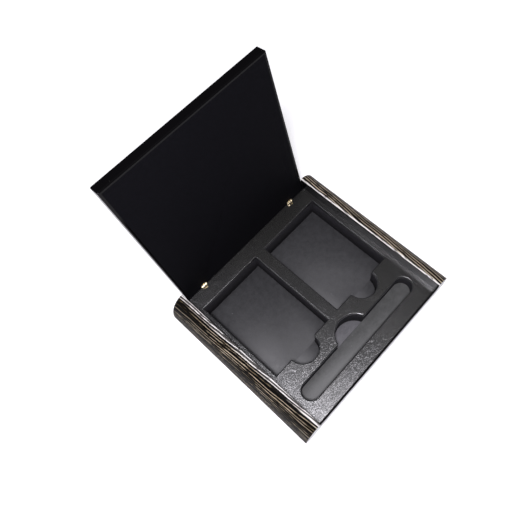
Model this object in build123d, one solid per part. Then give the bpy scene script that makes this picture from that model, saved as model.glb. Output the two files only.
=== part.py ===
"""Miniature carry case: a hinged-lid case for two decks of cards and a pen.

The case stands on its baize underside. X runs along the hinge, Y from the front to the
back and Z up. The origin is the middle of the underside. The lid is modelled open,
leaning back on its stop; closing turns it forward about the hinge axis.
"""
from build123d import *
from math import cos, radians, sin, sqrt
import os

# ---------------------------------------------------------------- driving dimensions (mm)
INNER_WIDTH = 158.0        # between the two side rails
CASE_DEPTH = 165.0         # front to back
BULGE = 18.2               # how far a rail swells out beyond its inner face
BASE_Z = 1.0               # underside of the wooden body, the baize is below it
FLOOR_Z = 5.0              # top of the base panel
BULGE_Z = 13.0             # height of a rail's widest point
DECK_Z = 28.0              # top of the tray deck, on which the lid lies
RAIL_Z = 41.2              # top of the rails
RAIL_LOWER_RADIUS = 13.6   # rail section below its widest point
VENEER = 0.6               # zebrano veneer on the rails

DECK_THICKNESS = 3.0       # leatherette-faced tray deck
WALL = 6.0                 # front wall
WALL_LIP = 2.0             # lacquered lip in front of the deck
BACK_WALL_FRONT = 150.0    # front face of the back wall, from the case front
LINING = 0.6               # lining of the pocket walls
PAD = 1.0                  # lining of the pocket floors
EDGE = 0.9                 # rounding of the deck and wall edges

POCKET_INNER_X = 6.1       # half the bridge between the two card pockets
POCKET_OUTER_X = 73.8
POCKET_FRONT = 54.9        # from the case front
POCKET_BACK = 145.7
FINGER_RADIUS = 14.5       # semicircular finger notch in each pocket's front edge
NOTCH_FILLET = 2.0

SLOT_FRONT = 16.4          # pen slot, a stadium
SLOT_BACK = 33.3
SLOT_HALF_LENGTH = 71.2
SLOT_DEPTH = 15.0
THUMB_RADIUS = 18.2        # thumb notch in the back edge of the pen slot
THUMB_TOP = 46.3           # its furthest point from the case front

HINGE_Y = 161.3            # hinge axis, from the case front
HINGE_X = 58.0
PIVOT_LIFT = 0.2           # hinge axis above the deck
OPENING_ANGLE = 100.7      # from shut to resting on its stop
STOP_GAP = 0.1             # each bevel stays this far from the hinge axis
LID_THICKNESS = 9.6
LID_SIDE_GAP = 0.8         # lid to each rail
LID_FRONT_GAP = 0.3        # lid front edge behind the case front
LID_RIM = 2.2              # lacquered rim at the sides and front of the lid lining
LID_BACK_RIM = 1.2         # and along the hinge
LID_LINING = 0.8
LID_EDGE = 1.0

BARREL_RADIUS = 3.0        # brass barrel hinges, pressed into bored holes
BARREL_CASE_LENGTH = 12.0
BARREL_LID_LENGTH = 7.0
KNUCKLE_RADIUS = 2.4
KNUCKLE_CLEARANCE = 0.35
TONGUE = 2.0               # width of the lid half's tongue
TONGUE_SIDE_GAP = 0.1
PIN_RADIUS = 0.75
PIN_PRESS_GAP = 0.01
PIN_RUNNING_GAP = 0.05
BORE_GAP = 0.02            # bored hole round each barrel, dowel, magnet and screw
GRUB_RADIUS = 1.25
GRUB_LENGTH = 3.0

MAGNET_RADIUS = 3.0
MAGNET_THICKNESS = 3.0
MAGNET_X = 66.0
MAGNET_Y = 10.0            # from the case front

DOWEL_RADIUS = 3.0
DOWEL_IN_BODY = 11.0
DOWEL_IN_RAIL = 10.0
DOWEL_Z = 15.0
DOWEL_YS = (10.5, 44.0, 157.5)

SCREW_SHANK = 1.4
SCREW_LENGTH = 13.0
SCREW_HEAD = 2.8
SCREW_SPOTS = ((-45.0, 11.0), (45.0, 11.0), (-60.0, 44.0), (60.0, 44.0), (0.0, 75.0), (0.0, 125.0))

BAIZE_HALF_WIDTH = 88.0
BAIZE_MARGIN = 2.0         # baize edge inside the case front and back

# ---------------------------------------------------------------- derived sizes
HALF_INNER = INNER_WIDTH / 2
FRONT = -CASE_DEPTH / 2
BACK = CASE_DEPTH / 2
PIVOT_Y = FRONT + HINGE_Y
PIVOT_Z = DECK_Z + PIVOT_LIFT
DECK_UNDERSIDE = DECK_Z - DECK_THICKNESS
BEVEL = OPENING_ANGLE / 2
LID_HALF_WIDTH = HALF_INNER - LID_SIDE_GAP
SLOT_RADIUS = (SLOT_BACK - SLOT_FRONT) / 2
POCKET_MIDDLE_X = (POCKET_INNER_X + POCKET_OUTER_X) / 2
MARGIN = 50.0              # cutting tools reach this far past what they cut


def box(x0, x1, y0, y1, z0, z1):
    """Block between two corners, with Y counted from the case front."""
    size = (x1 - x0, y1 - y0, z1 - z0)
    middle = ((x0 + x1) / 2, FRONT + (y0 + y1) / 2, (z0 + z1) / 2)
    return Pos(*middle) * Box(*size)


def upright(x, y, z0, z1, radius):
    """Vertical cylinder, with Y counted from the case front."""
    return Pos(x, FRONT + y, (z0 + z1) / 2) * Cylinder(radius, z1 - z0)


def along_x(x0, x1, y, z, radius):
    """Cylinder parallel to the hinge axis, in model coordinates."""
    return Pos((x0 + x1) / 2, y, z) * Rot(0, 90, 0) * Cylinder(radius, x1 - x0)


def mirrored(shape):
    """The same piece on the other side of the case."""
    return mirror(shape, about=Plane.YZ)


def prism(sketch, z0, z1):
    """Sketch in plan, pulled up from z0 to z1."""
    return extrude(Pos(0, 0, z0) * sketch, amount=z1 - z0, dir=(0, 0, 1))


def group(solids):
    """Several identical solids as one node."""
    return Compound(children=list(solids))


# ---------------------------------------------------------------- plan outlines
def card_pocket_plan(grow=0.0):
    """Right-hand card pocket with its finger notch."""
    width = POCKET_OUTER_X - POCKET_INNER_X + 2 * grow
    depth = POCKET_BACK - POCKET_FRONT + 2 * grow
    middle_y = FRONT + (POCKET_FRONT + POCKET_BACK) / 2
    notch_y = FRONT + POCKET_FRONT
    notch_radius = FINGER_RADIUS + grow
    plan = Pos(POCKET_MIDDLE_X, middle_y) * Rectangle(width, depth)
    plan += Pos(POCKET_MIDDLE_X, notch_y) * Circle(notch_radius)
    meeting = plan.vertices().filter_by(lambda v: abs(v.Y - notch_y + grow) < 0.01)
    corners = meeting.filter_by(lambda v: abs(v.X - POCKET_MIDDLE_X) < notch_radius + 0.1)
    return fillet(corners, NOTCH_FILLET - grow)


def slot_plan(grow=0.0, clear_of_notch=False):
    """Pen slot with round ends, and the thumb notch in its back edge."""
    radius = SLOT_RADIUS + grow
    middle_y = FRONT + (SLOT_FRONT + SLOT_BACK) / 2
    straight = 2 * (SLOT_HALF_LENGTH - SLOT_RADIUS)
    plan = Pos(0, middle_y) * Rectangle(straight, 2 * radius)
    for side in (-1, 1):
        plan += Pos(side * straight / 2, middle_y) * Circle(radius)
    if clear_of_notch:
        return plan
    plan += thumb_notch_plan(grow)
    back_y = FRONT + SLOT_BACK + grow
    meeting = plan.vertices().filter_by(lambda v: abs(v.Y - back_y) < 0.01)
    corners = meeting.filter_by(lambda v: abs(v.X) < THUMB_RADIUS + 0.1)
    return fillet(corners, NOTCH_FILLET - grow)


def thumb_notch_plan(grow=0.0):
    """Back part of a circle, which makes the thumb notch."""
    middle_y = FRONT + (SLOT_FRONT + SLOT_BACK) / 2
    disc = Pos(0, FRONT + THUMB_TOP - THUMB_RADIUS) * Circle(THUMB_RADIUS + grow)
    return disc & Pos(0, middle_y + THUMB_RADIUS) * Rectangle(4 * THUMB_RADIUS, 2 * THUMB_RADIUS)


def all_pockets(grow, z0, z1):
    """The three hollows of the tray as solids, for cutting."""
    card = prism(card_pocket_plan(grow), z0, z1)
    return [card, mirrored(card), prism(slot_plan(grow), z0, z1)]


# ---------------------------------------------------------------- shared cutting shapes
def tilted_block(angle, z0, z1):
    """Wide block between two heights, turned about the hinge axis."""
    block = Pos(0, 0, (z0 + z1) / 2) * Box(INNER_WIDTH + MARGIN, 4 * MARGIN, z1 - z0)
    return Pos(0, PIVOT_Y, PIVOT_Z) * Rot(angle, 0, 0) * block


def case_bevel():
    """Everything above the bevel that the case's back edge is cut to."""
    return tilted_block(-BEVEL, -STOP_GAP, MARGIN)


def lid_bevel():
    """Everything below the bevel that the shut lid's back edge is cut to."""
    return tilted_block(BEVEL, -MARGIN, STOP_GAP)


def hinge_bores():
    """Bored holes for the case halves of both hinges."""
    return [
        upright(side * HINGE_X, HINGE_Y, PIVOT_Z - BARREL_CASE_LENGTH, PIVOT_Z + MARGIN,
                BARREL_RADIUS + BORE_GAP)
        for side in (-1, 1)
    ]


def dowel_holes():
    """Blind holes for the dowels of both rails."""
    right = [dowel(y, BORE_GAP) for y in DOWEL_YS]
    return right + [mirrored(hole) for hole in right]


def dowel(y, grow=0.0):
    """One right-hand dowel, or its hole."""
    return along_x(HALF_INNER - DOWEL_IN_BODY - grow, HALF_INNER + DOWEL_IN_RAIL + grow,
                   FRONT + y, DOWEL_Z, DOWEL_RADIUS + grow)


# ---------------------------------------------------------------- body of the case
def base_panel():
    """Board that closes the body from below, countersunk for its screws."""
    panel = box(-HALF_INNER, HALF_INNER, WALL, BACK_WALL_FRONT, BASE_Z, FLOOR_Z)
    return panel - [screw(x, y, BORE_GAP) for x, y in SCREW_SPOTS]


def base_baize():
    """Baize sheet glued under the case."""
    return box(-BAIZE_HALF_WIDTH, BAIZE_HALF_WIDTH, BAIZE_MARGIN, CASE_DEPTH - BAIZE_MARGIN, 0, BASE_Z)


def screw(x, y, grow=0.0):
    """Countersunk wood screw driven up into the tray core, or its hole."""
    head_depth = SCREW_HEAD - SCREW_SHANK
    shank = upright(x, y, BASE_Z, BASE_Z + SCREW_LENGTH + grow, SCREW_SHANK + grow)
    head = Pos(x, FRONT + y, BASE_Z + head_depth / 2) * Cone(
        SCREW_HEAD + grow, SCREW_SHANK + grow, head_depth)
    return shank + head


def base_screws():
    """The six screws of the base panel, each with a straight slot."""
    slotted = []
    for x, y in SCREW_SPOTS:
        slot = box(x - SCREW_HEAD, x + SCREW_HEAD, y - 0.3, y + 0.3, BASE_Z, BASE_Z + 0.6)
        slotted.append(screw(x, y) - slot)
    return group(slotted)


def front_wall():
    """Lacquered front board, rebated behind its lip for the deck."""
    wall = box(-HALF_INNER, HALF_INNER, 0, WALL, BASE_Z, DECK_Z)
    wall -= box(-HALF_INNER, HALF_INNER, WALL_LIP, WALL, DECK_UNDERSIDE, DECK_Z)
    front_top = wall.edges().filter_by(Axis.X).sort_by(lambda e: e.center().Z - e.center().Y)[-1]
    return fillet(front_top, EDGE) - dowel_holes()


def back_wall():
    """Back board that carries the hinges, bevelled where the open lid rests."""
    wall = box(-HALF_INNER, HALF_INNER, BACK_WALL_FRONT, CASE_DEPTH, BASE_Z, DECK_UNDERSIDE)
    return wall - case_bevel() - hinge_bores() - dowel_holes()


def tray_core():
    """Thick board under the deck, cut right through for the pockets."""
    core = box(-HALF_INNER, HALF_INNER, WALL, BACK_WALL_FRONT, FLOOR_Z, DECK_UNDERSIDE)
    core -= all_pockets(LINING, FLOOR_Z, DECK_UNDERSIDE)
    core -= dowel_holes()
    core -= [screw(x, y, BORE_GAP) for x, y in SCREW_SPOTS]
    return core - [case_magnet(side, BORE_GAP) for side in (-1, 1)]


def tray_deck():
    """Leatherette-faced top board with the pocket outlines, its edges rounded."""
    deck = box(-HALF_INNER, HALF_INNER, WALL_LIP, CASE_DEPTH, DECK_UNDERSIDE, DECK_Z)
    deck -= case_bevel()
    deck -= all_pockets(0.0, DECK_UNDERSIDE, DECK_Z)
    top = deck.edges().filter_by(lambda e: abs(e.center().Z - DECK_Z) < 0.01)
    rims = top.filter_by(lambda e: abs(abs(e.center().X) - HALF_INNER) > 0.01)
    rims = rims.filter_by(lambda e: e.center().Y > FRONT + WALL_LIP + 0.01)
    return fillet(rims, EDGE) - hinge_bores()


def pocket_lining(plan, wider_plan):
    """Lining strip round the wall of a pocket, under the deck."""
    return prism(wider_plan, FLOOR_Z, DECK_UNDERSIDE) - prism(plan, FLOOR_Z, DECK_UNDERSIDE)


def pen_slot_floor():
    """Raised block that makes the pen slot shallower than the card pockets."""
    return prism(slot_plan(clear_of_notch=True), FLOOR_Z, DECK_Z - SLOT_DEPTH)


def thumb_notch_floor():
    """Lining of the deeper floor in the thumb notch."""
    pad = prism(slot_plan(), FLOOR_Z, FLOOR_Z + PAD)
    return pad - prism(slot_plan(clear_of_notch=True), FLOOR_Z, FLOOR_Z + PAD)


def case_magnet(side, grow=0.0):
    """Closing magnet under the front of the deck, or its pocket."""
    return upright(side * MAGNET_X, MAGNET_Y, DECK_UNDERSIDE - MAGNET_THICKNESS - grow,
                   DECK_UNDERSIDE, MAGNET_RADIUS + grow)


# ---------------------------------------------------------------- side rails
def rail_section(inset):
    """Rail section in the XZ plane: a half-ellipse crown over a rounder lower part."""
    width = BULGE - inset
    height = RAIL_Z - BULGE_Z - inset
    radius = RAIL_LOWER_RADIUS - inset
    centre_x = HALF_INNER + BULGE - RAIL_LOWER_RADIUS
    foot = Vector(centre_x + sqrt(radius ** 2 - (BULGE_Z - BASE_Z) ** 2), BASE_Z)
    shoulder = Vector(HALF_INNER + width, BULGE_Z)
    low_angle = radians(-45)
    between = Vector(centre_x + radius * cos(low_angle), BULGE_Z + radius * sin(low_angle))
    crown = EllipticalCenterArc((HALF_INNER, BULGE_Z), width, height, start_angle=0, arc_size=90)
    belly = ThreePointArc(foot, between, shoulder)
    sole = Line((HALF_INNER, BASE_Z), foot)
    inner = Line((HALF_INNER, BULGE_Z + height), (HALF_INNER, BASE_Z))
    return make_face([sole, belly, crown, inner])


def rail_solid(inset):
    """Right-hand rail swept along the whole depth of the case."""
    section = Plane.XZ * rail_section(inset)
    return extrude(Pos(0, BACK, 0) * section, amount=CASE_DEPTH, dir=(0, -1, 0))


def rail_core():
    """Lacquered wooden rail with its dowel holes."""
    return rail_solid(VENEER) - [dowel(y, BORE_GAP) for y in DOWEL_YS]


def rail_veneer():
    """Curved veneer over the outside of a rail, eased along its inner top edge."""
    veneer = rail_solid(0.0) - rail_solid(VENEER)
    top_edge = veneer.edges().filter_by(Axis.Y).sort_by(Axis.Z)[-1]
    return fillet(top_edge, VENEER * 0.8)


# ---------------------------------------------------------------- barrel hinges
def knuckle_disc(x0, x1, radius):
    """Disc round the hinge axis."""
    return along_x(x0, x1, PIVOT_Y, PIVOT_Z, radius)


def barrel_trim(shape, bevel, z_face, upwards):
    """Cut a barrel flush with the panel it is pressed into."""
    z0, z1 = (z_face, PIVOT_Z + MARGIN) if upwards else (PIVOT_Z - MARGIN, z_face)
    return shape - bevel - box(-HALF_INNER, HALF_INNER, 0, CASE_DEPTH + MARGIN, z0, z1)


def case_barrel():
    """Right-hand hinge half in the case: a barrel with two cheeks and a slot."""
    x = HINGE_X
    whole = upright(x, HINGE_Y, PIVOT_Z - BARREL_CASE_LENGTH, PIVOT_Z + KNUCKLE_RADIUS, BARREL_RADIUS)
    barrel = barrel_trim(whole, case_bevel(), DECK_Z, upwards=True)
    cheeks = whole & knuckle_disc(x - BARREL_RADIUS, x + BARREL_RADIUS, KNUCKLE_RADIUS)
    slot_half = TONGUE / 2 + TONGUE_SIDE_GAP
    slot = knuckle_disc(x - slot_half, x + slot_half, KNUCKLE_RADIUS + KNUCKLE_CLEARANCE)
    slot += box(x - slot_half, x + slot_half, HINGE_Y - MARGIN, HINGE_Y + MARGIN, PIVOT_Z, PIVOT_Z + MARGIN)
    bore = knuckle_disc(x - BARREL_RADIUS - 1, x + BARREL_RADIUS + 1, PIN_RADIUS + PIN_PRESS_GAP)
    grub = upright(x, HINGE_Y, PIVOT_Z - BARREL_CASE_LENGTH, PIVOT_Z - BARREL_CASE_LENGTH + GRUB_LENGTH,
                   GRUB_RADIUS + BORE_GAP)
    return barrel + cheeks - slot - bore - grub


def lid_barrel():
    """Right-hand hinge half in the shut lid: a barrel with a central tongue."""
    x = HINGE_X
    top = PIVOT_Z + BARREL_LID_LENGTH
    whole = upright(x, HINGE_Y, PIVOT_Z - KNUCKLE_RADIUS, top, BARREL_RADIUS)
    barrel = barrel_trim(whole, lid_bevel(), PIVOT_Z + PIVOT_LIFT, upwards=False)
    relief = knuckle_disc(x - BARREL_RADIUS - 1, x + BARREL_RADIUS + 1, KNUCKLE_RADIUS + KNUCKLE_CLEARANCE)
    half = TONGUE / 2
    relief -= box(x - half, x + half, 0, CASE_DEPTH + MARGIN, PIVOT_Z - MARGIN, PIVOT_Z + MARGIN)
    tongue = knuckle_disc(x - half, x + half, KNUCKLE_RADIUS)
    bore = knuckle_disc(x - half - 1, x + half + 1, PIN_RADIUS + PIN_RUNNING_GAP)
    grub = upright(x, HINGE_Y, top - GRUB_LENGTH, top, GRUB_RADIUS + BORE_GAP)
    return barrel - relief + tongue - bore - grub


def hinge_pin():
    """Right-hand hinge pin, pressed into the case half's cheeks."""
    half = sqrt(BARREL_RADIUS ** 2 - PIN_RADIUS ** 2) - 0.1
    return knuckle_disc(HINGE_X - half, HINGE_X + half, PIN_RADIUS)


def grub_screws(z0, z1):
    """Expanding grub screws in the closed ends of both barrels of one panel."""
    return [upright(side * HINGE_X, HINGE_Y, z0, z1, GRUB_RADIUS) for side in (-1, 1)]


# ---------------------------------------------------------------- lid, modelled shut
def lid_blank(inset, w0, w1):
    """Flat block of the shut lid, from w0 to w1 above its inner face."""
    z = PIVOT_Z + PIVOT_LIFT
    return box(-LID_HALF_WIDTH + inset, LID_HALF_WIDTH - inset, LID_FRONT_GAP + inset,
               CASE_DEPTH, z + w0, z + w1)


def lid_lining_blank():
    """Lining sheet of the lid, inside its lacquered rim."""
    sheet = lid_blank(LID_RIM, 0, LID_LINING)
    back = HINGE_Y - LID_BACK_RIM
    return sheet - box(-HALF_INNER, HALF_INNER, back, CASE_DEPTH + MARGIN, 0, PIVOT_Z + MARGIN)


def knuckle_relief():
    """Room in the lid for the cheeks of both case halves."""
    half = BARREL_RADIUS + 0.3
    radius = KNUCKLE_RADIUS + KNUCKLE_CLEARANCE
    return [knuckle_disc(side * HINGE_X - half, side * HINGE_X + half, radius) for side in (-1, 1)]


def lid_bores():
    """Bored holes for the lid halves of both hinges."""
    return [
        upright(side * HINGE_X, HINGE_Y, PIVOT_Z - MARGIN, PIVOT_Z + BARREL_LID_LENGTH,
                BARREL_RADIUS + BORE_GAP)
        for side in (-1, 1)
    ]


def lid_magnet(side, grow=0.0):
    """Closing magnet behind the lid lining, or its pocket."""
    z0 = PIVOT_Z + PIVOT_LIFT + LID_LINING
    return upright(side * MAGNET_X, MAGNET_Y, z0, z0 + MAGNET_THICKNESS + grow, MAGNET_RADIUS + grow)


def lid_panel():
    """Lacquered lid board with rounded edges, bevelled along the hinge."""
    panel = lid_blank(0, 0, LID_THICKNESS) - lid_bevel()
    panel = fillet(panel.edges(), LID_EDGE)
    panel -= lid_lining_blank()
    panel -= [lid_magnet(side, BORE_GAP) for side in (-1, 1)]
    return panel - lid_bores() - knuckle_relief()


def lid_lining():
    """Matte lining sheet, notched for the hinges."""
    return lid_lining_blank() - lid_bores() - knuckle_relief()


def opened(shape):
    """Turn a piece of the shut lid to where it rests open."""
    return Pos(0, PIVOT_Y, PIVOT_Z) * Rot(-OPENING_ANGLE, 0, 0) * Pos(0, -PIVOT_Y, -PIVOT_Z) * shape


# ---------------------------------------------------------------- nodes
def case_nodes():
    """Every piece of the case body."""
    card_lining = pocket_lining(card_pocket_plan(), card_pocket_plan(LINING))
    card_floor = prism(card_pocket_plan(), FLOOR_Z, FLOOR_Z + PAD)
    rail = rail_core()
    veneer = rail_veneer()
    dowels = group(dowel(y) for y in DOWEL_YS)
    barrel = case_barrel()
    pin = hinge_pin()
    barrel_end = PIVOT_Z - BARREL_CASE_LENGTH
    return {
        "base_panel": base_panel(),
        "base_baize": base_baize(),
        "base_screws": base_screws(),
        "front_wall": front_wall(),
        "back_wall": back_wall(),
        "tray_core": tray_core(),
        "tray_deck": tray_deck(),
        "right_pocket_lining": card_lining,
        "left_pocket_lining": mirrored(card_lining),
        "pen_slot_lining": pocket_lining(slot_plan(), slot_plan(LINING)),
        "right_pocket_floor": card_floor,
        "left_pocket_floor": mirrored(card_floor),
        "pen_slot_floor": pen_slot_floor(),
        "thumb_notch_floor": thumb_notch_floor(),
        "right_rail": rail,
        "left_rail": mirrored(rail),
        "right_rail_veneer": veneer,
        "left_rail_veneer": mirrored(veneer),
        "right_rail_dowels": dowels,
        "left_rail_dowels": mirrored(dowels),
        "case_magnets": group(case_magnet(side) for side in (-1, 1)),
        "right_hinge_case_barrel": barrel,
        "left_hinge_case_barrel": mirrored(barrel),
        "right_hinge_pin": pin,
        "left_hinge_pin": mirrored(pin),
        "case_barrel_grub_screws": group(grub_screws(barrel_end, barrel_end + GRUB_LENGTH)),
    }


def lid_nodes():
    """Every piece that swings with the lid, turned to its open rest."""
    barrel = lid_barrel()
    barrel_end = PIVOT_Z + BARREL_LID_LENGTH
    shut = {
        "lid_panel": lid_panel(),
        "lid_lining": lid_lining(),
        "right_hinge_lid_barrel": barrel,
        "left_hinge_lid_barrel": mirrored(barrel),
        "lid_magnets": group(lid_magnet(side) for side in (-1, 1)),
        "lid_barrel_grub_screws": group(grub_screws(barrel_end - GRUB_LENGTH, barrel_end)),
    }
    return {name: opened(shape) for name, shape in shut.items()}


def main():
    """Write one STEP file for each node."""
    os.makedirs("parts", exist_ok=True)
    for name, shape in {**case_nodes(), **lid_nodes()}.items():
        export_step(shape, f"parts/{name}.step")


main()
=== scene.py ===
"""Miniature carry case: finishes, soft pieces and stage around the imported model.

Lengths are metres in the model's own frame: X along the hinge, Y from front to back and
Z up, with the case standing open on its baize.
"""
import math

import bmesh
import bpy
from bpy.props import FloatProperty, FloatVectorProperty, IntProperty, PointerProperty
from bpy.types import Operator, Panel, PropertyGroup
from mathutils import Matrix, Vector


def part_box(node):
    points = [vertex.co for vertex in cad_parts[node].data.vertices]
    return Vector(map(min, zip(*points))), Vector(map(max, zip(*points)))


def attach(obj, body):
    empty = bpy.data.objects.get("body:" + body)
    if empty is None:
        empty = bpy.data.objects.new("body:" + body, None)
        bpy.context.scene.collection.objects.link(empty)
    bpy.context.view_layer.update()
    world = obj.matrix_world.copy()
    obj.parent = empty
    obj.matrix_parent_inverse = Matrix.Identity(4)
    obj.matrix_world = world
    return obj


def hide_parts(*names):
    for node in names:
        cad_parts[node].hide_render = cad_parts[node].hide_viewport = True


bl_info = {
    "name": "Miniature Carry Case",
    "version": (1, 0, 0),
    "blender": (4, 5, 0),
    "location": "3D View > Sidebar > Carry Case",
    "description": "Finishes, linings and stage for a hinged card case",
    "category": "Object",
}

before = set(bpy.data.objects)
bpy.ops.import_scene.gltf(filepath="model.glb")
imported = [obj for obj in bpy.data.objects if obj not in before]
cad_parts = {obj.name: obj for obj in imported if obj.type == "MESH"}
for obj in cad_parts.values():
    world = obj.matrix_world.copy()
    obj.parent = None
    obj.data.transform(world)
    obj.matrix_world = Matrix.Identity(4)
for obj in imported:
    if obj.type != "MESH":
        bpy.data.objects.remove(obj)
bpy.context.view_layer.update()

# ---------------------------------------------------------------- places read from the frame
MM = 0.001
DECK_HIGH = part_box("tray_deck")[1]
HALF_INNER = DECK_HIGH.x
VENEER_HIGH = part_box("right_rail_veneer")[1]
RAIL_BULGE = VENEER_HIGH.x - HALF_INNER

# ---------------------------------------------------------------- the rails' outline
BULGE_HEIGHT = 13 * MM      # height of the widest line
CROWN_HEIGHT = 28.2 * MM    # from the widest line up to the inner top edge
FOOT_RADIUS = 13.6 * MM     # round from the widest line down to the foot
FOOT_HEIGHT = 1 * MM
FOOT_STEPS = 40
CROWN_STEPS = 110

# ---------------------------------------------------------------- the veneer's figure
LEFT_SPREAD = 23.2 * MM     # width of leaf laid over one radian of each rail's round
RIGHT_SPREAD = 18.5 * MM
SLANT = 0.06                # drift of the streaks across the leaf, per length of rail
LEAF_OFFSET = 0.4           # keeps the two rails' leaves apart in the pattern
STRIPE_PERIOD = 2.1 * MM

WELD = 0.002 * MM           # points nearer than this are one point
TINY = 0.01 * MM


# ---------------------------------------------------------------- what a user would change
class CarryCaseSizes(PropertyGroup):
    """Sizes of the soft and thin pieces."""

    baize_nap: FloatProperty(
        name="Baize nap", description="Height of the loose fibres on the baize",
        default=0.15 * MM, unit="LENGTH", subtype="DISTANCE")
    pebble: FloatProperty(
        name="Pebble", description="Width of one pebble of the deck's grained face",
        default=1.4 * MM, unit="LENGTH", subtype="DISTANCE")
    veneer: FloatProperty(
        name="Veneer", description="Thickness of the veneer on the rails",
        default=0.48 * MM, unit="LENGTH", subtype="DISTANCE")
    grain_depth: FloatProperty(
        name="Grain depth", description="Depth of the open grain in the veneer",
        default=0.12 * MM, unit="LENGTH", subtype="DISTANCE")
    veneer_rows: IntProperty(
        name="Veneer rows", description="Faces along each rail's veneer",
        default=66, min=4)
    soft_edge: FloatProperty(
        name="Soft edge", description="Rounding of the linings' edges",
        default=0.3 * MM, unit="LENGTH", subtype="DISTANCE")


class CarryCaseColours(PropertyGroup):
    """Colours of the finishes, linear."""

    lacquer: FloatVectorProperty(
        name="Lacquer", description="Black gloss lacquer on walls, rails and lid",
        default=(0.0030, 0.0028, 0.0032), subtype="COLOR", size=3, min=0, max=1)
    deck: FloatVectorProperty(
        name="Deck", description="Grained leatherette on the tray deck",
        default=(0.0050, 0.0050, 0.0056), subtype="COLOR", size=3, min=0, max=1)
    pocket_wall: FloatVectorProperty(
        name="Pocket walls", description="Cloth on the walls of the pockets",
        default=(0.027, 0.026, 0.030), subtype="COLOR", size=3, min=0, max=1)
    pocket_floor: FloatVectorProperty(
        name="Pocket floors", description="Cloth on the floors of the card pockets",
        default=(0.029, 0.029, 0.031), subtype="COLOR", size=3, min=0, max=1)
    slot_floor: FloatVectorProperty(
        name="Slot floor", description="Cloth on the floor of the pen slot",
        default=(0.070, 0.071, 0.070), subtype="COLOR", size=3, min=0, max=1)
    notch_floor: FloatVectorProperty(
        name="Thumb notch floor", description="Cloth on the floor of the thumb notch",
        default=(0.108, 0.106, 0.114), subtype="COLOR", size=3, min=0, max=1)
    lid_lining: FloatVectorProperty(
        name="Lid lining", description="Matte cloth inside the lid",
        default=(0.0046, 0.0044, 0.0062), subtype="COLOR", size=3, min=0, max=1)
    wood_dark: FloatVectorProperty(
        name="Dark grain", description="Darkest streaks of the rail veneer",
        default=(0.0035, 0.0028, 0.0022), subtype="COLOR", size=3, min=0, max=1)
    wood_mid: FloatVectorProperty(
        name="Brown grain", description="Brown streaks of the rail veneer",
        default=(0.015, 0.011, 0.006), subtype="COLOR", size=3, min=0, max=1)
    wood_tan: FloatVectorProperty(
        name="Tan grain", description="Tan streaks of the rail veneer",
        default=(0.19, 0.148, 0.086), subtype="COLOR", size=3, min=0, max=1)
    wood_light: FloatVectorProperty(
        name="Pale grain", description="Palest streaks of the rail veneer",
        default=(0.58, 0.50, 0.37), subtype="COLOR", size=3, min=0, max=1)
    # Painted highlight: colour of the pale silvery band along the rails' inner top edges.
    wood_edge_highlight: FloatVectorProperty(
        name="Edge highlight", description="Silvery streaks along the rails' inner top edges",
        default=(0.86, 0.84, 0.81), subtype="COLOR", size=3, min=0, max=1)
    baize: FloatVectorProperty(
        name="Baize", description="Baize under the case",
        default=(0.018, 0.020, 0.022), subtype="COLOR", size=3, min=0, max=1)
    brass: FloatVectorProperty(
        name="Brass", description="Barrel hinges",
        default=(0.90, 0.76, 0.50), subtype="COLOR", size=3, min=0, max=1)


class CarryCaseStage(PropertyGroup):
    """Camera and lights."""

    azimuth: FloatProperty(
        name="Azimuth", description="Turn of the camera round the case, zero from the front",
        default=math.radians(-40.80), subtype="ANGLE", unit="ROTATION")
    elevation: FloatProperty(
        name="Elevation", description="Height of the camera above the horizon, as an angle",
        default=math.radians(68.07), subtype="ANGLE", unit="ROTATION")
    roll: FloatProperty(
        name="Roll", description="Turn of the camera about its own line of sight",
        default=math.radians(-7.13), subtype="ANGLE", unit="ROTATION")
    distance: FloatProperty(
        name="Distance", description="From the camera to the point on the deck that it looks at",
        default=0.4627, unit="LENGTH", subtype="DISTANCE")
    aim: FloatVectorProperty(
        name="Aim", description="Point on the deck that the camera looks at",
        default=(0.0096, 0.0288, 0.028), subtype="TRANSLATION", size=3)
    focal_length: FloatProperty(
        name="Focal length", description="Focal length in millimetres on a 36 mm sensor",
        default=34.41, min=5)
    shift: FloatVectorProperty(
        name="Shift", description="Camera shift across and up, as a share of the picture",
        default=(-0.0648, 0.0152), size=2)
    key_place: FloatVectorProperty(
        name="Key place", description="Middle of the soft lamp before the case",
        default=(-0.20, -0.17, 0.95), subtype="TRANSLATION", size=3)
    key_size: FloatVectorProperty(
        name="Key size", description="Width and length of the soft lamp, in metres",
        default=(0.16, 0.16), size=2)
    key_power: FloatProperty(
        name="Key power", description="Power of the soft lamp, in watts",
        default=9.5, min=0)
    fill_place: FloatVectorProperty(
        name="Fill place", description="Middle of the strip lamp on the left",
        default=(-0.29, 0.20, 0.95), subtype="TRANSLATION", size=3)
    fill_size: FloatVectorProperty(
        name="Fill size", description="Width and length of the strip lamp, in metres",
        default=(0.08, 0.50), size=2)
    fill_power: FloatProperty(
        name="Fill power", description="Power of the strip lamp, in watts",
        default=1.2, min=0)
    ambient: FloatProperty(
        name="Ambient", description="Strength of the even light from all round",
        default=0.14, min=0)


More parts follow.
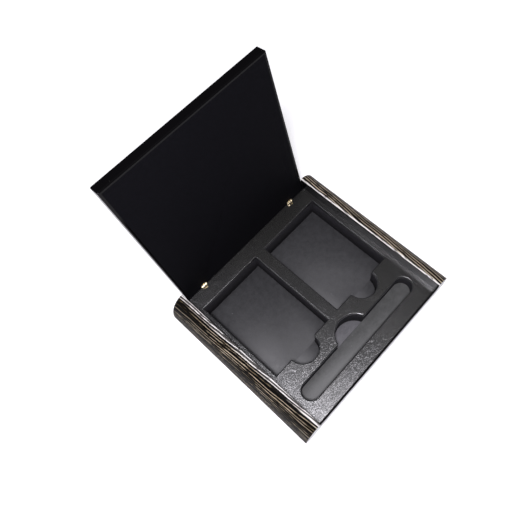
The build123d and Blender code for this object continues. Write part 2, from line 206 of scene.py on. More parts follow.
# ---------------------------------------------------------------- shader nodes
class Net:
    """Adds shader nodes to one tree and links them."""

    def __init__(self, tree):
        self.tree = tree

    def feed(self, socket, value):
        """Link an output to a socket, or set the socket's own value."""
        if isinstance(value, bpy.types.NodeSocket):
            self.tree.links.new(value, socket)
        else:
            socket.default_value = value

    def add(self, kind, inputs=None, **options):
        """New node with its options; inputs are values or outputs of other nodes."""
        node = self.tree.nodes.new(kind)
        for name, value in options.items():
            setattr(node, name, value)
        for name, value in (inputs or {}).items():
            self.feed(node.inputs[name], value)
        return node

    def place(self):
        """Object coordinates of the piece."""
        return self.add("ShaderNodeTexCoord").outputs["Object"]

    def math(self, operation, *values):
        """Math node on one, two or three values."""
        node = self.add("ShaderNodeMath", operation=operation)
        for socket, value in zip(node.inputs, values):
            self.feed(socket, value)
        return node.outputs[0]

    def spread(self, value, low, high, new_low=0.0, new_high=1.0):
        """Value moved from one range to another and held inside it."""
        return self.add("ShaderNodeMapRange", {
            "Value": value, "From Min": low, "From Max": high,
            "To Min": new_low, "To Max": new_high}).outputs["Result"]

    def left_or_right(self, side, left, right):
        """One value on the left rail, where side is -1, and another on the right."""
        return self.spread(side, -1.0, 1.0, left, right)

    def point(self, x, y, z):
        """Coordinates made of three values."""
        return self.add("ShaderNodeCombineXYZ", {"X": x, "Y": y, "Z": z}).outputs[0]

    def axes(self, vector):
        """The three coordinates of a point."""
        return self.add("ShaderNodeSeparateXYZ", {0: vector}).outputs

    def stretched(self, vector, scale, turn=(0, 0, 0)):
        """Coordinates turned and then scaled along each axis."""
        return self.add("ShaderNodeMapping", {
            "Vector": vector, "Scale": scale, "Rotation": turn}).outputs["Vector"]

    def noise(self, vector, scale, detail=2.0, roughness=0.5, distortion=0.0):
        """Noise from 0 to 1, with its scale in cells a metre."""
        return self.add("ShaderNodeTexNoise", {
            "Vector": vector, "Scale": scale, "Detail": detail,
            "Roughness": roughness, "Distortion": distortion}).outputs["Fac"]

    def cells(self, vector, scale, output="Distance", **options):
        """Voronoi cells, with their scale in cells a metre."""
        node = self.add("ShaderNodeTexVoronoi", {"Vector": vector, "Scale": scale}, **options)
        return node.outputs[output]

    def mixed(self, factor, first, second, blend_type="MIX"):
        """Mix of two colours."""
        node = self.add("ShaderNodeMix", data_type="RGBA", blend_type=blend_type)
        colours = [socket for socket in node.inputs if socket.type == "RGBA"]
        self.feed(node.inputs["Factor"], factor)
        self.feed(colours[0], first)
        self.feed(colours[1], second)
        return next(socket for socket in node.outputs if socket.type == "RGBA")

    def ramp(self, value, *stops):
        """Colours at stops along a value."""
        node = self.add("ShaderNodeValToRGB", {"Fac": value})
        elements = node.color_ramp.elements
        while len(elements) < len(stops):
            elements.new(1.0)
        for element, (position, colour) in zip(elements, stops):
            element.position = position
            element.color = opaque(colour)
        return node.outputs["Color"]

    def bump(self, height, distance, strength=1.0):
        """Normal bent by a height from 0 to 1 that stands for a distance."""
        return self.add("ShaderNodeBump", {
            "Height": height, "Distance": distance, "Strength": strength}).outputs["Normal"]

    def effect(self, group, inputs):
        """One of the shared effects, placed with its own values."""
        kind = group.bl_idname.replace("Tree", "Group")
        return self.add(kind, inputs, node_tree=group).outputs


def opaque(colour):
    """Colour with full alpha."""
    return (*colour[:3], 1.0)


def effect_group(name, inputs, outputs, build, kind="ShaderNodeTree"):
    """Shared effect: a node group with named inputs and outputs, built once."""
    known = bpy.data.node_groups.get(name)
    if known:
        return known
    tree = bpy.data.node_groups.new(name, kind)
    for label, socket_kind, value in inputs:
        socket = tree.interface.new_socket(label, in_out="INPUT", socket_type=socket_kind)
        if value is not None:
            socket.default_value = value
    for label, socket_kind in outputs:
        tree.interface.new_socket(label, in_out="OUTPUT", socket_type=socket_kind)
    net = Net(tree)
    given = tree.nodes.new("NodeGroupInput").outputs
    result = tree.nodes.new("NodeGroupOutput").inputs
    for label, value in build(net, given).items():
        net.feed(result[label], value)
    return tree


VECTOR = "NodeSocketVector"
NUMBER = "NodeSocketFloat"


def wood_grain(kind="ShaderNodeTree"):
    """Streaks of open-pored wood, long along one axis and fine across it."""
    def build(net, given):
        def streaks(cells_across, cells_along, layer, distortion=0.0):
            """One layer of the pattern, with its cells in a metre each way."""
            place = net.point(
                net.math("MULTIPLY", across, cells_across),
                net.math("MULTIPLY", along, cells_along), layer)
            return net.noise(place, 1.0, 1, 0.55, distortion)
        along = given["Along"]
        bend = net.noise(net.point(
            net.math("MULTIPLY", given["Across"], 60),
            net.math("MULTIPLY", along, 22), 3.3), 1.0, 2)
        across = net.math("MULTIPLY_ADD", bend, 3.5 * MM, given["Across"])
        bands = streaks(190, 9, layer=1.7)
        lines = streaks(1650, 15, layer=5.1, distortion=0.2)
        fibres = streaks(3000, 40, layer=9.4, distortion=0.2)
        flecks = streaks(1300, 170, layer=13.2)
        turn = net.math(
            "MULTIPLY_ADD", across, 2 * math.pi / STRIPE_PERIOD, net.math("MULTIPLY", bands, 9.0))
        stripes = net.math("MULTIPLY_ADD", net.math("SINE", turn), 0.5, 0.5)
        tone = net.math("MULTIPLY", lines, 0.45)
        for layer, share in ((stripes, 0.40), (fibres, 0.34), (flecks, 0.24), (bands, 0.15)):
            tone = net.math("MULTIPLY_ADD", layer, share, tone)
        return {
            "Tone": net.spread(tone, 0.82, 1.03),
            "Fibre": fibres,
            "Pore": net.spread(net.math("MULTIPLY", fibres, flecks), 0.20, 0.15),
        }
    return effect_group(
        "Wood grain" if kind == "ShaderNodeTree" else "Wood grain relief",
        [("Across", NUMBER, 0.0), ("Along", NUMBER, 0.0)],
        [("Tone", NUMBER), ("Fibre", NUMBER), ("Pore", NUMBER)], build, kind)


def round_the_rail(net, place):
    """Angle about a rail's widest line, which side it is on, and its grain."""
    x, y, z = net.axes(place)
    outwards = net.math("SUBTRACT", net.math("ABSOLUTE", x), HALF_INNER)
    angle = net.math("ARCTAN2", net.math("SUBTRACT", z, BULGE_HEIGHT), outwards)
    side = net.math("SIGN", x)
    across = net.math("MULTIPLY", angle, net.left_or_right(side, LEFT_SPREAD, RIGHT_SPREAD))
    across = net.math("MULTIPLY_ADD", y, SLANT, across)
    across = net.math("MULTIPLY_ADD", side, LEAF_OFFSET, across)
    grain = net.effect(wood_grain(net.tree.bl_idname), {"Across": across, "Along": y})
    return angle, side, grain


def open_grain(depth):
    """Geometry nodes that sink the dark streaks of the veneer below its surface."""
    def build(net, given):
        _, _, grain = round_the_rail(net, net.add("GeometryNodeInputPosition").outputs[0])
        sunk = net.math("MULTIPLY", net.math("SUBTRACT", grain["Tone"], 1.0), depth)
        offset = net.add("ShaderNodeVectorMath", {
            0: net.add("GeometryNodeInputNormal").outputs[0], "Scale": sunk}, operation="SCALE")
        return {"Geometry": net.add("GeometryNodeSetPosition", {
            "Geometry": given["Geometry"], "Offset": offset.outputs[0]}).outputs[0]}
    return effect_group(
        "Open grain", [("Geometry", "NodeSocketGeometry", None)],
        [("Geometry", "NodeSocketGeometry")], build, "GeometryNodeTree")


def pebbled_hide():
    """Rounded pebbles and creases of grained leatherette."""
    def build(net, given):
        wander = net.noise(given["Place"], 260, 2)
        size = net.spread(wander, 0.3, 0.7, 0.8, 1.25)
        density = net.math("MULTIPLY", given["Density"], size)
        cells = net.cells(given["Place"], density, feature="SMOOTH_F1")
        fine = net.noise(given["Place"], net.math("MULTIPLY", given["Density"], 2.6), 3, 0.6)
        dome = net.spread(cells, 0.75, 0.1)
        height = net.math("MULTIPLY_ADD", fine, 0.25, dome)
        return {"Height": height, "Crease": net.spread(cells, 0.5, 0.8), "Fine": fine}
    return effect_group(
        "Pebbled hide",
        [("Place", VECTOR, None), ("Density", NUMBER, 1000.0)],
        [("Height", NUMBER), ("Crease", NUMBER), ("Fine", NUMBER)], build)


def woven_nap():
    """Short loose fibres over a fine cloth."""
    def build(net, given):
        fuzz = net.noise(given["Place"], given["Density"], 5, 0.7)
        tufts = net.noise(given["Place"], net.math("MULTIPLY", given["Density"], 0.18), 3, 0.6)
        return {
            "Height": net.math("MULTIPLY_ADD", tufts, 0.6, fuzz),
            "Tone": net.math("MULTIPLY_ADD", tufts, 0.4, net.math("MULTIPLY", fuzz, 0.6)),
        }
    return effect_group(
        "Woven nap",
        [("Place", VECTOR, None), ("Density", NUMBER, 3000.0)],
        [("Height", NUMBER), ("Tone", NUMBER)], build)


def lint_specks():
    """Sparse specks of dust, each in its own cell."""
    def build(net, given):
        near = net.cells(given["Place"], given["Density"])
        tint = net.cells(given["Place"], given["Density"], "Color")
        luck = net.add("ShaderNodeSeparateColor", {"Color": tint}).outputs[0]
        chosen = net.math("GREATER_THAN", given["Share"], luck)
        ragged = net.noise(given["Place"], net.math("MULTIPLY", given["Density"], 9.0), 2)
        speck = net.spread(net.math("MULTIPLY_ADD", ragged, 0.08, near), 0.13, 0.08)
        return {"Specks": net.math("MULTIPLY", speck, chosen)}
    return effect_group(
        "Lint specks",
        [("Place", VECTOR, None), ("Density", NUMBER, 300.0), ("Share", NUMBER, 0.1)],
        [("Specks", NUMBER)], build)


def handling_marks():
    """Finger smears and hairline scratches on gloss lacquer."""
    def build(net, given):
        smears = net.noise(given["Place"], 38, 4, 0.6, 1.2)
        hair = net.stretched(given["Place"], (40, 900, 900), (0.3, 0.2, 0.5))
        scratches = net.spread(net.noise(hair, 1.0, 2, 0.5), 0.70, 0.78)
        return {
            "Smears": net.spread(smears, 0.42, 0.68),
            "Scratches": scratches,
            "Ripple": net.noise(given["Place"], 180, 2),
        }
    return effect_group(
        "Handling marks", [("Place", VECTOR, None)],
        [("Smears", NUMBER), ("Scratches", NUMBER), ("Ripple", NUMBER)], build)


def rounded_edges():
    """Where a surface turns away from an axis, as on the rounded rim of a flat face."""
    def build(net, given):
        facing = net.add(
            "ShaderNodeVectorMath", {0: given["Normal"], 1: given["Axis"]},
            operation="DOT_PRODUCT")
        lean = facing.outputs["Value"]
        turned = net.spread(lean, 0.995, 0.93)
        above = net.spread(lean, 0.05, 0.4)
        return {"Rim": net.math("MULTIPLY", turned, above)}
    return effect_group(
        "Rounded edges", [("Normal", VECTOR, None), ("Axis", VECTOR, (0.0, 0.0, 1.0))],
        [("Rim", NUMBER)], build)


# ---------------------------------------------------------------- finishes
def finish_for(name):
    """New material, with its net and its Principled shader."""
    material = bpy.data.materials.new(name)
    material.use_nodes = True
    net = Net(material.node_tree)
    shader = next(n for n in material.node_tree.nodes if n.type == "BSDF_PRINCIPLED")
    return material, net, shader


def set_shader(net, shader, **values):
    """Set or link inputs of a Principled shader by their names, with _ for each space."""
    for name, value in values.items():
        socket = shader.inputs[name.replace("_", " ")]
        plain = not isinstance(value, bpy.types.NodeSocket)
        net.feed(socket, opaque(value) if plain and socket.type == "RGBA" else value)


def black_lacquer(name, colours, gloss):
    """Polished black lacquer with smears, ripple and a little dust."""
    material, net, shader = finish_for(name)
    place = net.place()
    marks = net.effect(handling_marks(), {"Place": place})
    dust = net.effect(lint_specks(), {"Place": place, "Density": 420.0, "Share": 0.05})["Specks"]
    rough = net.spread(marks["Smears"], 0, 1, 0.07, 0.15)
    rough = net.math("MULTIPLY_ADD", marks["Scratches"], 0.10, rough)
    set_shader(
        net, shader,
        Base_Color=net.mixed(
            net.math("MULTIPLY", dust, 0.35), opaque(colours.lacquer), (0.25, 0.24, 0.22, 1)),
        Roughness=net.math("MULTIPLY_ADD", dust, 0.4, rough),
        Normal=net.bump(marks["Ripple"], 0.02 * MM, 0.4),
        Specular_IOR_Level=gloss)
    return material


def streaked_veneer(colours):
    """Dark striped veneer that follows the round of the rails, under clear lacquer."""
    material, net, shader = finish_for("streaked_rail_veneer")
    place = net.place()
    angle, side, grain = round_the_rail(net, place)
    paler = net.left_or_right(side, -0.08, 0.29)
    # Painted shade: each rail's outer flank is darkened and browned towards the foot, from higher
    # up on the right rail.
    foot_start = net.left_or_right(side, 0.85, 1.45)
    foot = net.spread(net.math("SUBTRACT", foot_start, angle), 0.0, 0.6)
    # Painted highlight: a pale silvery band along each rail's inner top edge, wider on the left
    # rail, that also lifts the streaks' tone there.
    from_edge = net.math("SUBTRACT", math.pi / 2, angle)
    edge_width = net.left_or_right(side, 0.170, 0.070)
    edge_highlight_mask = net.spread(net.math("DIVIDE", from_edge, edge_width), 1.0, 0.5)
    streak = net.math("ADD", grain["Tone"], net.math("MULTIPLY_ADD", edge_highlight_mask, 0.50, paler))
    colour = net.ramp(
        streak, (0.30, colours.wood_dark), (0.52, colours.wood_mid),
        (0.72, colours.wood_tan), (0.95, colours.wood_light))
    painted_edge_highlight = net.math("MULTIPLY", edge_highlight_mask, net.spread(streak, 0.40, 0.70))
    colour = net.mixed(painted_edge_highlight, colour, opaque(colours.wood_edge_highlight))
    pores = net.math("MULTIPLY", grain["Pore"], 0.85)
    colour = net.mixed(pores, colour, opaque(colours.wood_dark))
    shade = net.math("MULTIPLY", foot, 0.9)
    colour = net.mixed(shade, colour, (0.30, 0.20, 0.11, 1), "MULTIPLY")
    ridges = net.math("MULTIPLY_ADD", grain["Fibre"], 0.5, grain["Tone"])
    set_shader(
        net, shader,
        Base_Color=colour,
        Roughness=net.spread(grain["Tone"], 0, 1, 0.50, 0.28),
        Normal=net.bump(ridges, 0.10 * MM, 0.6),
        Coat_Weight=0.04, Coat_Roughness=0.14, Specular_IOR_Level=0.10)
    return material


def deck_leatherette(colours, sizes):
    """Charcoal pebbled leatherette with polished rims, lightened as a painted highlight."""
    material, net, shader = finish_for("grained_deck_leatherette")
    coordinates = net.add("ShaderNodeTexCoord").outputs
    place = coordinates["Object"]
    hide = net.effect(pebbled_hide(), {"Place": place, "Density": 1 / sizes.pebble})
    rim = net.effect(rounded_edges(), {"Normal": coordinates["Normal"]})["Rim"]
    drift = net.spread(net.noise(place, 14, 2), 0.35, 0.65)
    # Painted shade: the creases between the pebbles are darkened.
    crease = net.math("MULTIPLY", hide["Crease"], 0.5)
    # Painted highlight: the rounded rims are lightened in colour; their lower roughness is the
    # real polish.
    painted_rim_highlight = net.math("MULTIPLY", rim, 0.5)
    colour = net.mixed(drift, opaque(colours.deck), (0.0075, 0.0072, 0.0062, 1))
    colour = net.mixed(crease, colour, (0.003, 0.003, 0.0035, 1))
    colour = net.mixed(painted_rim_highlight, colour, (0.05, 0.05, 0.055, 1))
    rough = net.spread(hide["Fine"], 0.3, 0.7, 0.24, 0.30)
    set_shader(
        net, shader,
        Base_Color=colour,
        Roughness=net.math("MULTIPLY_ADD", rim, -0.12, rough),
        Normal=net.bump(hide["Height"], 0.062 * MM, 0.6),
        Specular_IOR_Level=1.0, Coat_Weight=0.8, Coat_Roughness=0.22)
    return material


def napped_cloth(
        name, colour, *, density, contrast, specular, roughness, nap=0.08 * MM, lint=0.05):
    """Matte cloth with short nap and a little lint."""
    material, net, shader = finish_for(name)
    place = net.place()
    cloth = net.effect(woven_nap(), {"Place": place, "Density": density})
    dust = net.effect(lint_specks(), {"Place": place, "Density": 260.0, "Share": lint})["Specks"]
    dark = tuple(channel * (1 - contrast) for channel in colour)
    light = tuple(channel * (1 + contrast) for channel in colour)
    tone = net.ramp(net.spread(cloth["Tone"], 0.35, 0.65), (0.0, dark), (1.0, light))
    set_shader(
        net, shader,
        Base_Color=net.mixed(net.math("MULTIPLY", dust, 0.5), tone, (0.4, 0.4, 0.42, 1)),
        Roughness=net.spread(cloth["Tone"], 0.3, 0.7, roughness - 0.06, roughness + 0.06),
        Normal=net.bump(cloth["Height"], nap, 0.8),
        Specular_IOR_Level=specular)
    return material


def pressed_board(name, pale, dark):
    """Fibreboard: fine pressed fibres with darker chips."""
    material, net, shader = finish_for(name)
    place = net.place()
    fibres = net.noise(net.stretched(place, (1, 1, 3)), 1600, 4, 0.7)
    chips = net.noise(place, 500, 3, 0.6)
    mix = net.math("MULTIPLY_ADD", chips, 0.5, net.math("MULTIPLY", fibres, 0.5))
    set_shader(
        net, shader,
        Base_Color=net.ramp(net.spread(mix, 0.35, 0.65), (0.0, dark), (1.0, pale)),
        Roughness=net.spread(fibres, 0.3, 0.7, 0.75, 0.92),
        Normal=net.bump(fibres, 0.08 * MM, 0.6))
    return material


def beech(name):
    """Pale dowel wood with short flecks along the dowel."""
    material, net, shader = finish_for(name)
    x, y, z = net.axes(net.place())
    grain = net.effect(wood_grain(), {"Across": net.math("ADD", y, z), "Along": x})
    set_shader(
        net, shader,
        Base_Color=net.ramp(grain["Tone"], (0.0, (0.42, 0.24, 0.12)), (1.0, (0.66, 0.44, 0.26))),
        Roughness=net.spread(grain["Fibre"], 0.3, 0.7, 0.5, 0.68),
        Normal=net.bump(grain["Fibre"], 0.05 * MM, 0.5))
    return material


def turned_metal(name, colour, tarnish, *, roughness, tool_marks):
    """Turned or ground metal with fine tool marks and dulled patches."""
    material, net, shader = finish_for(name)
    place = net.place()
    rings = net.noise(net.stretched(place, (1, 1, tool_marks)), 700, 3, 0.6)
    patches = net.noise(place, 420, 4, 0.65)
    set_shader(
        net, shader,
        Base_Color=net.mixed(net.spread(patches, 0.5, 0.75), opaque(colour), opaque(tarnish)),
        Roughness=net.spread(patches, 0.3, 0.7, roughness, roughness + 0.16),
        Normal=net.bump(rings, 0.01 * MM, 0.5),
        Metallic=1.0)
    return material


# ---------------------------------------------------------------- pieces
def dress(slot, material):
    """Give a finish to every CAD node of one material slot."""
    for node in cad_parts.values():
        for material_slot in node.material_slots:
            if material_slot.material and material_slot.material.name == slot:
                material_slot.material = material


def settings():
    """Sizes, colours and stage values kept on the scene."""
    scene = bpy.context.scene
    return scene.carry_case_sizes, scene.carry_case_colours, scene.carry_case_stage


def select_only(piece):
    """Make one piece the only one that is selected, and the active one."""
    bpy.ops.object.select_all(action="DESELECT")
    piece.select_set(True)
    bpy.context.view_layer.objects.active = piece


def pick(piece, kind, test):
    """In edit mode, select the vertices, edges or faces that pass a test and no others."""
    bpy.ops.mesh.select_mode(type=kind)
    bpy.ops.mesh.select_all(action="DESELECT")
    grid = bmesh.from_edit_mesh(piece.data)
    parts = {"VERT": grid.verts, "EDGE": grid.edges, "FACE": grid.faces}[kind]
    grid.normal_update()
    for part in parts:
        part.select_set(test(part))
    grid.select_flush_mode()
    bmesh.update_edit_mesh(piece.data)


def copied(piece, name):
    """Second piece with its own mesh."""
    twin = bpy.data.objects.new(name, piece.data.copy())
    bpy.context.scene.collection.objects.link(twin)
    return twin


def worked_copy(node, name, edge):
    """Copy of a CAD node's mesh, joined into whole faces, with its sharp edges rounded."""
    piece = copied(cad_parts[node], name)
    select_only(piece)
    bpy.ops.mesh.customdata_custom_splitnormals_clear()
    bpy.ops.object.mode_set(mode="EDIT")
    bpy.ops.mesh.select_all(action="SELECT")
    bpy.ops.mesh.remove_doubles(threshold=WELD)
    bpy.ops.mesh.dissolve_limited(angle_limit=math.radians(1))
    sharp = math.radians(40)
    pick(piece, "EDGE", lambda part: part.is_manifold and part.calc_face_angle(0) > sharp)
    bpy.ops.mesh.bevel(offset=edge, segments=2, profile=0.5, clamp_overlap=True)
    bpy.ops.mesh.select_all(action="SELECT")
    bpy.ops.mesh.normals_make_consistent(inside=False)
    bpy.ops.object.mode_set(mode="OBJECT")
    bpy.ops.object.shade_smooth_by_angle(angle=math.radians(35))
    return piece


def put(piece, body, slot, material, *nodes):
    """Finish a new piece, name its body, and let it stand for its CAD nodes."""
    piece.data.materials.clear()
    piece.data.materials.append(material)
    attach(piece, body)
    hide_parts(*nodes)


def add_modifier(piece, kind, **values):
    """Add a modifier with its values and apply it."""
    select_only(piece)
    modifier = piece.modifiers.new(kind.lower(), kind)
    for name, value in values.items():
        setattr(modifier, name, value)
    bpy.ops.object.modifier_apply(modifier=modifier.name)


class CARRYCASE_OT_lacquer(Operator):
    """Lacquer the walls, the rails and the lid board"""

    bl_idname = "carry_case.lacquer"
    bl_label = "Lacquered boards"

    def execute(self, context):
        colours = settings()[1]
        dress("black_lacquer", black_lacquer("gloss_black_lacquer", colours, gloss=0.5))
        # The lid board is rubbed down a little more than the walls and rails.
        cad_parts["lid_panel"].material_slots[0].material = black_lacquer(
            "lid_black_lacquer", colours, gloss=0.2)
        return {"FINISHED"}


class CARRYCASE_OT_veneer(Operator):
    """Veneer the outside of both rails with open grain"""

    bl_idname = "carry_case.veneer"
    bl_label = "Rail veneers"

    def execute(self, context):
        sizes, colours, _ = settings()
        material = streaked_veneer(colours)
        right = self.skin(sizes.veneer_rows)
        left = copied(right, "left_rail_open_grain")
        select_only(left)
        bpy.ops.object.mode_set(mode="EDIT")
        bpy.ops.mesh.select_all(action="SELECT")
        bpy.ops.transform.resize(value=(-1, 1, 1), center_override=(0, 0, 0))
        bpy.ops.mesh.flip_normals()
        bpy.ops.object.mode_set(mode="OBJECT")
        for piece, node in ((right, "right_rail_veneer"), (left, "left_rail_veneer")):
            add_modifier(piece, "NODES", node_group=open_grain(sizes.grain_depth))
            add_modifier(piece, "SOLIDIFY", thickness=sizes.veneer, offset=-1)
            add_modifier(
                piece, "BEVEL", width=0.15 * MM, segments=2, limit_method="ANGLE",
                angle_limit=math.radians(50))
            bpy.ops.object.shade_smooth_by_angle(angle=math.radians(40))
            put(piece, "case", "zebrano_veneer", material, node)
        return {"FINISHED"}

    def skin(self, rows):
        """Outside of the right rail, spun from one straight edge along its widest line."""
        length = 2 * VENEER_HIGH.y
        bpy.ops.mesh.primitive_grid_add(
            x_subdivisions=1, y_subdivisions=rows, size=length,
            location=(VENEER_HIGH.x - length / 2, 0, BULGE_HEIGHT))
        piece = bpy.context.object
        piece.name = "right_rail_open_grain"
        select_only(piece)
        bpy.ops.object.transform_apply(location=True, rotation=True, scale=True)
        bpy.ops.object.mode_set(mode="EDIT")
        pick(piece, "VERT", lambda part: part.co.x < 0)
        bpy.ops.mesh.delete(type="VERT")
        bpy.ops.mesh.select_all(action="SELECT")
        foot_turn = math.asin((BULGE_HEIGHT - FOOT_HEIGHT) / FOOT_RADIUS)
        bpy.ops.mesh.spin(
            steps=FOOT_STEPS, angle=-foot_turn, axis=(0, 1, 0),
            center=(VENEER_HIGH.x - FOOT_RADIUS, 0, BULGE_HEIGHT))
        pick(piece, "VERT", lambda part: abs(part.co.z - BULGE_HEIGHT) < TINY)
        crown_middle = (HALF_INNER, 0, BULGE_HEIGHT)
        bpy.ops.mesh.spin(
            steps=CROWN_STEPS, angle=math.radians(90), axis=(0, 1, 0), center=crown_middle)
        pick(piece, "VERT", lambda part: part.co.z > BULGE_HEIGHT + TINY)
        bpy.ops.transform.resize(
            value=(1, 1, CROWN_HEIGHT / RAIL_BULGE), center_override=crown_middle)
        bpy.ops.mesh.select_all(action="SELECT")
        bpy.ops.mesh.remove_doubles(threshold=WELD)
        bpy.ops.mesh.normals_make_consistent(inside=False)
        pick(piece, "FACE", lambda part: part.normal.x < 0 or part.normal.z < -0.9)
        grid = bmesh.from_edit_mesh(piece.data)
        if 2 * sum(part.select for part in grid.faces) > len(grid.faces):
            bpy.ops.mesh.select_all(action="SELECT")
            bpy.ops.mesh.flip_normals()
        bpy.ops.object.mode_set(mode="OBJECT")
        return piece


class CARRYCASE_OT_deck(Operator):
    """Cover the tray deck with leatherette"""

    bl_idname = "carry_case.deck"
    bl_label = "Tray deck"

    def execute(self, context):
        sizes, colours, _ = settings()
        dress("deck_leatherette", deck_leatherette(colours, sizes))
        return {"FINISHED"}


class CARRYCASE_OT_pocket_linings(Operator):
    """Line the walls and floors of the pockets and the pen slot"""

    bl_idname = "carry_case.pocket_linings"
    bl_label = "Pocket linings"

    def execute(self, context):
        sizes, colours, _ = settings()
        wall = napped_cloth(
            "pocket_wall_cloth", colours.pocket_wall,
            density=1400, contrast=0.40, specular=0.2, roughness=0.8)
        floor = napped_cloth(
            "pocket_floor_cloth", colours.pocket_floor,
            density=1100, contrast=0.35, specular=0.5, roughness=0.52)
        slot = napped_cloth(
            "slot_floor_cloth", colours.slot_floor,
            density=1100, contrast=0.28, specular=0.5, roughness=0.55)
        notch = napped_cloth(
            "thumb_notch_cloth", colours.notch_floor,
            density=1100, contrast=0.28, specular=0.5, roughness=0.55)
        for node, name, material, slot_name in (
                ("right_pocket_lining", "right_pocket_wall_cloth", wall, "wall_lining"),
                ("left_pocket_lining", "left_pocket_wall_cloth", wall, "wall_lining"),
                ("pen_slot_lining", "pen_slot_wall_cloth", wall, "wall_lining"),
                ("right_pocket_floor", "right_pocket_floor_pad", floor, "floor_lining"),
                ("left_pocket_floor", "left_pocket_floor_pad", floor, "floor_lining"),
                ("pen_slot_floor", "pen_slot_floor_pad", slot, "slot_lining"),
                ("thumb_notch_floor", "thumb_notch_floor_pad", notch, "slot_lining")):
            piece = worked_copy(node, name, sizes.soft_edge if "floor" in node else 0.1 * MM)
            put(piece, "case", slot_name, material, node)
        return {"FINISHED"}


class CARRYCASE_OT_lid_lining(Operator):
    """Line the inside of the lid"""

    bl_idname = "carry_case.lid_lining"
    bl_label = "Lid lining"

    def execute(self, context):
        sizes, colours, _ = settings()
        piece = worked_copy("lid_lining", "lid_lining_cloth", sizes.soft_edge)
        material = napped_cloth(
            "lid_cloth", colours.lid_lining,
            density=2400, contrast=0.3, specular=0.08, roughness=0.85, nap=0.05 * MM, lint=0.0)
        put(piece, "lid", "lid_lining", material, "lid_lining")
        return {"FINISHED"}


class CARRYCASE_OT_baize(Operator):
    """Cover the underside with baize"""

    bl_idname = "carry_case.baize"
    bl_label = "Baize"

    def execute(self, context):
        sizes, colours, _ = settings()
        piece = worked_copy("base_baize", "base_baize_cloth", sizes.soft_edge)
        material = napped_cloth(
            "baize_cloth", colours.baize,
            density=1800, contrast=0.4, specular=0.2, roughness=0.9, nap=sizes.baize_nap, lint=0.1)
        put(piece, "case", "baize", material, "base_baize")
        return {"FINISHED"}


class CARRYCASE_OT_hinges(Operator):
    """Finish the barrel hinges"""

    bl_idname = "carry_case.hinges"
    bl_label = "Hinges"

    def execute(self, context):
        colours = settings()[1]
        brass = turned_metal(
            "turned_brass", colours.brass, (0.70, 0.56, 0.34), roughness=0.30, tool_marks=6)
        for node, body in (
                ("right_hinge_case_barrel", "case"), ("left_hinge_case_barrel", "case"),
                ("right_hinge_lid_barrel", "lid"), ("left_hinge_lid_barrel", "lid"),
                ("right_hinge_pin", "case"), ("left_hinge_pin", "case")):
            piece = worked_copy(node, node.replace("hinge", "brass"), 0.12 * MM)
            put(piece, body, "brass", brass, node)
        return {"FINISHED"}


class CARRYCASE_OT_hidden_parts(Operator):
    """Finish the boards, dowels, screws and magnets inside the case"""

    bl_idname = "carry_case.hidden_parts"
    bl_label = "Hidden parts"

    def execute(self, context):
        dress("fibreboard", pressed_board(
            "pressed_fibreboard", pale=(0.30, 0.19, 0.11), dark=(0.16, 0.095, 0.05)))
        dress("beech", beech("dowel_beech"))
        dress("steel", turned_metal(
            "ground_steel", (0.56, 0.57, 0.58), (0.30, 0.29, 0.28), roughness=0.22, tool_marks=4))
        dress("magnet", turned_metal(
            "plated_magnet", (0.66, 0.65, 0.62), (0.48, 0.46, 0.43), roughness=0.12, tool_marks=1))
        return {"FINISHED"}


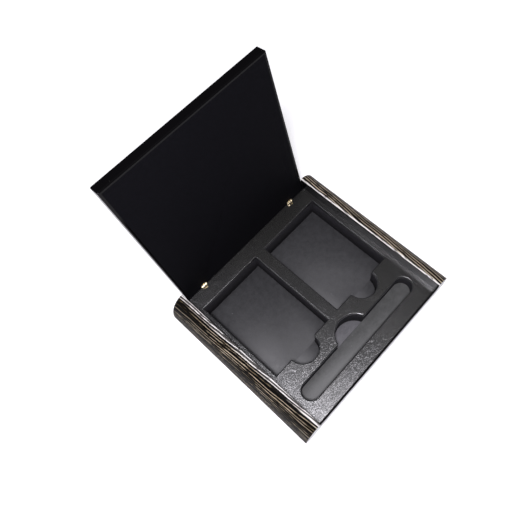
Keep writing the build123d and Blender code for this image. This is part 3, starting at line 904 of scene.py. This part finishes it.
class CARRYCASE_OT_stage(Operator):
    """Set the floor, the lights and the camera"""

    bl_idname = "carry_case.stage"
    bl_label = "Stage"

    def execute(self, context):
        stage = settings()[2]
        self.floor()
        self.lights(context.scene, stage)
        self.camera(context.scene, stage)
        context.scene.view_settings.view_transform = "Standard"
        return {"FINISHED"}

    def floor(self):
        """Plain pale floor just under the baize."""
        bpy.ops.mesh.primitive_plane_add(size=6, location=(0, 0, -0.1 * MM))
        floor = bpy.context.object
        floor.name = "floor"
        material, net, shader = finish_for("pale_floor")
        place = net.place()
        mottle = net.noise(place, 30, 3)
        away = net.add("ShaderNodeVectorMath", {0: place}, operation="LENGTH").outputs["Value"]
        glow = net.spread(away, 0.25, 0.9, 0.30, 1.0)
        seen = net.add("ShaderNodeLightPath").outputs["Is Camera Ray"]
        set_shader(
            net, shader,
            Base_Color=net.ramp(mottle, (0.3, (0.90, 0.90, 0.90)), (0.7, (0.92, 0.92, 0.92))),
            Roughness=0.9, Specular_IOR_Level=0.1,
            Emission_Color=(1.0, 1.0, 1.0), Emission_Strength=net.math("MULTIPLY", seen, glow))
        floor.data.materials.append(material)

    def lights(self, scene, stage):
        """Soft lamp before the case, weak strip on its left, and a dim room, brighter above."""
        self.lamp("key_lamp", stage.key_place, stage.key_size, stage.key_power)
        self.lamp("fill_lamp", stage.fill_place, stage.fill_size, stage.fill_power)
        world = bpy.data.worlds.new("dim_room")
        world.use_nodes = True
        net = Net(world.node_tree)
        up = net.axes(net.add("ShaderNodeTexCoord").outputs["Generated"])[2]
        room = world.node_tree.nodes["Background"]
        net.feed(room.inputs["Color"], net.ramp(
            up, (0.0, (0.05, 0.05, 0.055)), (0.55, (0.16, 0.16, 0.17)), (0.95, (1.0, 1.0, 1.0))))
        net.feed(room.inputs["Strength"], stage.ambient)
        backdrop = net.add("ShaderNodeBackground", {"Color": (1, 1, 1, 1), "Strength": 1.0})
        seen = net.add("ShaderNodeLightPath").outputs["Is Camera Ray"]
        mix = net.add("ShaderNodeMixShader", {0: seen, 1: room.outputs[0], 2: backdrop.outputs[0]})
        net.feed(world.node_tree.nodes["World Output"].inputs["Surface"], mix.outputs[0])
        scene.world = world

    def lamp(self, name, place, size, power):
        """Soft rectangular lamp that points at the case."""
        bpy.ops.object.light_add(type="AREA", location=place)
        lamp = bpy.context.object
        lamp.name = name
        lamp.data.shape = "RECTANGLE"
        lamp.data.size, lamp.data.size_y = size
        lamp.data.energy = power
        lamp.data.color = (0.96, 0.94, 1.0)
        aim = Vector((0, 0, DECK_HIGH.z)) - lamp.location
        lamp.rotation_euler = aim.to_track_quat("-Z", "Y").to_euler()

    def camera(self, scene, stage):
        """Camera above the front left corner, a little rolled."""
        back = Vector((
            math.sin(stage.azimuth) * math.cos(stage.elevation),
            -math.cos(stage.azimuth) * math.cos(stage.elevation),
            math.sin(stage.elevation)))
        lens = bpy.data.cameras.new("camera")
        lens.lens = stage.focal_length
        lens.shift_x, lens.shift_y = stage.shift
        lens.clip_start = 0.01
        camera = bpy.data.objects.new("camera", lens)
        scene.collection.objects.link(camera)
        camera.location = Vector(stage.aim) + back * stage.distance
        upright = (-back).to_track_quat("-Z", "Y").to_matrix().to_4x4()
        turn = upright @ Matrix.Rotation(stage.roll, 4, "Z")
        camera.rotation_euler = turn.to_euler()
        scene.camera = camera


class CARRYCASE_PT_panel(Panel):
    """Steps that dress the carry case, in their order"""

    bl_idname = "CARRYCASE_PT_panel"
    bl_label = "Carry Case"
    bl_space_type = "VIEW_3D"
    bl_region_type = "UI"
    bl_category = "Carry Case"

    def draw(self, context):
        for step in STEPS:
            self.layout.operator(step.bl_idname)
        for group in ("carry_case_sizes", "carry_case_colours", "carry_case_stage"):
            values = getattr(context.scene, group)
            box = self.layout.box()
            for name in values.__annotations__:
                box.prop(values, name)


STEPS = (
    CARRYCASE_OT_lacquer,
    CARRYCASE_OT_veneer,
    CARRYCASE_OT_deck,
    CARRYCASE_OT_pocket_linings,
    CARRYCASE_OT_lid_lining,
    CARRYCASE_OT_baize,
    CARRYCASE_OT_hinges,
    CARRYCASE_OT_hidden_parts,
    CARRYCASE_OT_stage,
)
GROUPS = (CarryCaseSizes, CarryCaseColours, CarryCaseStage)
CLASSES = (*GROUPS, *STEPS, CARRYCASE_PT_panel)


def register():
    """Register the classes and keep their values on the scene."""
    for cls in CLASSES:
        bpy.utils.register_class(cls)
    bpy.types.Scene.carry_case_sizes = PointerProperty(type=CarryCaseSizes)
    bpy.types.Scene.carry_case_colours = PointerProperty(type=CarryCaseColours)
    bpy.types.Scene.carry_case_stage = PointerProperty(type=CarryCaseStage)


def unregister():
    """Undo register."""
    del bpy.types.Scene.carry_case_stage
    del bpy.types.Scene.carry_case_colours
    del bpy.types.Scene.carry_case_sizes
    for cls in reversed(CLASSES):
        bpy.utils.unregister_class(cls)


def main():
    """Dress the case step by step."""
    register()
    for step in STEPS:
        group, name = step.bl_idname.split(".")
        getattr(getattr(bpy.ops, group), name)()


if __name__ == "__main__":
    main()
